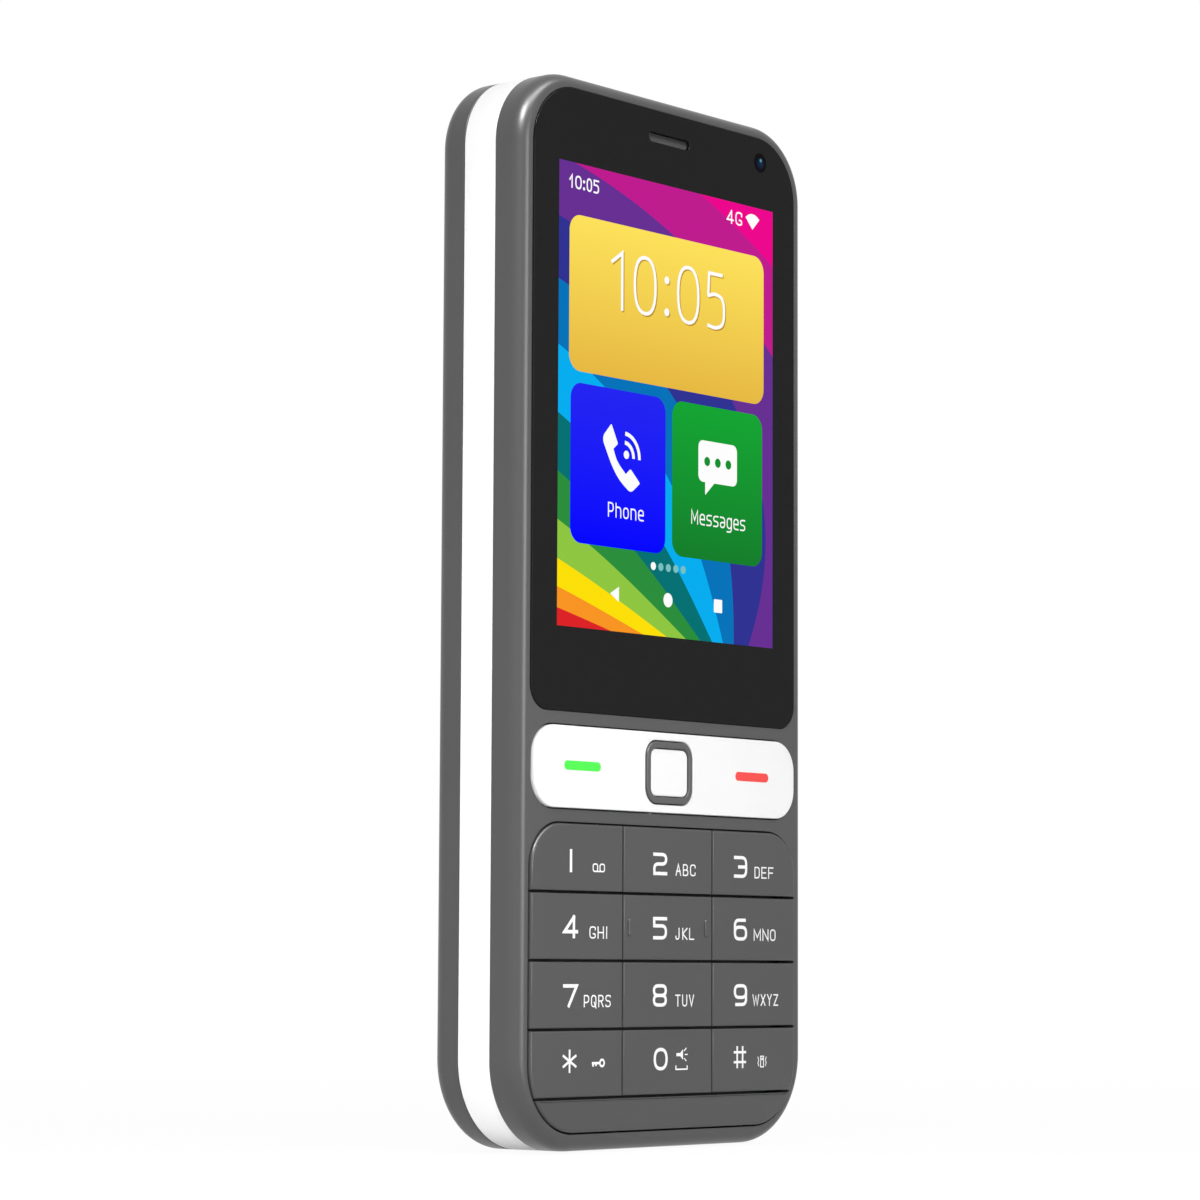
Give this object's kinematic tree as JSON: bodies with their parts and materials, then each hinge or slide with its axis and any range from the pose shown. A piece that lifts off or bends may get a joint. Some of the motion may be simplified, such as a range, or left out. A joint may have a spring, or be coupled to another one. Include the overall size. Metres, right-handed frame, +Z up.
{
  "type": "feature phone",
  "caption": "Slab feature phone with a glass-fronted display, a rocking call bar with a four-way ring and select key, a pressed number keypad and a pull-off battery cover.",
  "frame": {"origin": "middle of the lower end's bounding rectangle, the phone standing upright on it", "axes": "+Z up the phone's length, +X to the right as one faces the display, +Y from the display to the back"},
  "size_m": [0.057, 0.0148, 0.1324],
  "materials": {
    "dark_plastic": "satin moulded shell, dark grey",
    "key_plastic": "fine satin, dark grey",
    "white_plastic": "smooth satin white",
    "cover_glass": "black printed cover glass",
    "display": "display cell",
    "clear_plastic": "clear moulding",
    "tape": "black foam tape",
    "silicone": "translucent silicone rubber",
    "sheet_metal": "tinned sheet steel",
    "contact_brass": "plated contact metal",
    "bright_metal": "turned bright ring",
    "board": "green solder mask",
    "battery_wrap": "printed film wrap, bare",
    "black_plastic": "black moulding",
    "mesh": "fine woven acoustic mesh"
  },
  "bodies": {
    "chassis": {"front_housing": "dark_plastic", "glass_panel": "cover_glass", "glass_tape": "tape", "lcd_panel": "display", "light_guide": "clear_plastic", "backlight_tray": "sheet_metal", "earpiece_mesh": "mesh", "earpiece_receiver": "sheet_metal", "front_camera": "black_plastic", "chin_plate": "key_plastic", "keymat": "silicone", "dome_switches": "sheet_metal", "main_board": "board", "shield_cans": "sheet_metal", "sim_sockets": "sheet_metal", "memory_card_socket": "sheet_metal", "battery_contacts": "contact_brass", "usb_socket": "sheet_metal", "headphone_jack": "black_plastic", "microphone": "sheet_metal", "vibration_motor": "sheet_metal", "loudspeaker": "black_plastic", "rear_camera": "black_plastic", "torch_led": "contact_brass", "torch_lens": "clear_plastic", "mid_frame": "white_plastic", "battery": "battery_wrap", "antenna": "contact_brass", "housing_screws": "sheet_metal"},
    "call_bar": {"call_bar": "white_plastic"},
    "nav_gimbal": {"nav_gimbal": "sheet_metal"},
    "nav_ring": {"nav_ring": "dark_plastic"},
    "select_key": {"select_key": "white_plastic"},
    "battery_cover": {"battery_cover": "dark_plastic", "camera_window": "clear_plastic", "camera_bezel": "bright_metal", "speaker_mesh": "mesh"},
    "key_1": {"key_1": "key_plastic"},
    "key_2": {"key_2": "key_plastic"},
    "key_3": {"key_3": "key_plastic"},
    "key_4": {"key_4": "key_plastic"},
    "key_5": {"key_5": "key_plastic"},
    "key_6": {"key_6": "key_plastic"},
    "key_7": {"key_7": "key_plastic"},
    "key_8": {"key_8": "key_plastic"},
    "key_9": {"key_9": "key_plastic"},
    "key_star": {"key_star": "key_plastic"},
    "key_0": {"key_0": "key_plastic"},
    "key_hash": {"key_hash": "key_plastic"}
  },
  "joints": [
    {"name": "key_1_press", "type": "slide", "parent": "chassis", "child": "key_1", "axis": [0, 1, 0], "range_m": [0, 0.00025], "stiffness_N_per_m": 2000},
    {"name": "key_2_press", "type": "slide", "parent": "chassis", "child": "key_2", "axis": [0, 1, 0], "range_m": [0, 0.00025], "stiffness_N_per_m": 2000},
    {"name": "key_3_press", "type": "slide", "parent": "chassis", "child": "key_3", "axis": [0, 1, 0], "range_m": [0, 0.00025], "stiffness_N_per_m": 2000},
    {"name": "key_4_press", "type": "slide", "parent": "chassis", "child": "key_4", "axis": [0, 1, 0], "range_m": [0, 0.00025], "stiffness_N_per_m": 2000},
    {"name": "key_5_press", "type": "slide", "parent": "chassis", "child": "key_5", "axis": [0, 1, 0], "range_m": [0, 0.00025], "stiffness_N_per_m": 2000},
    {"name": "key_6_press", "type": "slide", "parent": "chassis", "child": "key_6", "axis": [0, 1, 0], "range_m": [0, 0.00025], "stiffness_N_per_m": 2000},
    {"name": "key_7_press", "type": "slide", "parent": "chassis", "child": "key_7", "axis": [0, 1, 0], "range_m": [0, 0.00025], "stiffness_N_per_m": 2000},
    {"name": "key_8_press", "type": "slide", "parent": "chassis", "child": "key_8", "axis": [0, 1, 0], "range_m": [0, 0.00025], "stiffness_N_per_m": 2000},
    {"name": "key_9_press", "type": "slide", "parent": "chassis", "child": "key_9", "axis": [0, 1, 0], "range_m": [0, 0.00025], "stiffness_N_per_m": 2000},
    {"name": "key_star_press", "type": "slide", "parent": "chassis", "child": "key_star", "axis": [0, 1, 0], "range_m": [0, 0.00025], "stiffness_N_per_m": 2000},
    {"name": "key_0_press", "type": "slide", "parent": "chassis", "child": "key_0", "axis": [0, 1, 0], "range_m": [0, 0.00025], "stiffness_N_per_m": 2000},
    {"name": "key_hash_press", "type": "slide", "parent": "chassis", "child": "key_hash", "axis": [0, 1, 0], "range_m": [0, 0.00025], "stiffness_N_per_m": 2000},
    {"name": "call_bar_rock", "type": "hinge", "parent": "chassis", "child": "call_bar", "pos_m": [0, -0.00526, 0.04654], "axis": [0, 0, 1], "range_deg": [-0.8, 0.8], "stiffness_Nm_per_rad": 1},
    {"name": "nav_left_right", "type": "hinge", "parent": "chassis", "child": "nav_gimbal", "pos_m": [0, -0.00356, 0.04654], "axis": [0, 0, 1], "range_deg": [-1.6, 1.6], "stiffness_Nm_per_rad": 0.1},
    {"name": "nav_up_down", "type": "hinge", "parent": "nav_gimbal", "child": "nav_ring", "pos_m": [0, -0.00356, 0.04654], "axis": [1, 0, 0], "range_deg": [-1.6, 1.6], "stiffness_Nm_per_rad": 0.1},
    {"name": "select_press", "type": "slide", "parent": "chassis", "child": "select_key", "axis": [0, 1, 0], "range_m": [0, 0.0003], "stiffness_N_per_m": 2000},
    {"name": "cover_pull", "type": "slide", "parent": "chassis", "child": "battery_cover", "axis": [0, 1, 0], "range_m": [0, 0.025]}
  ]
}
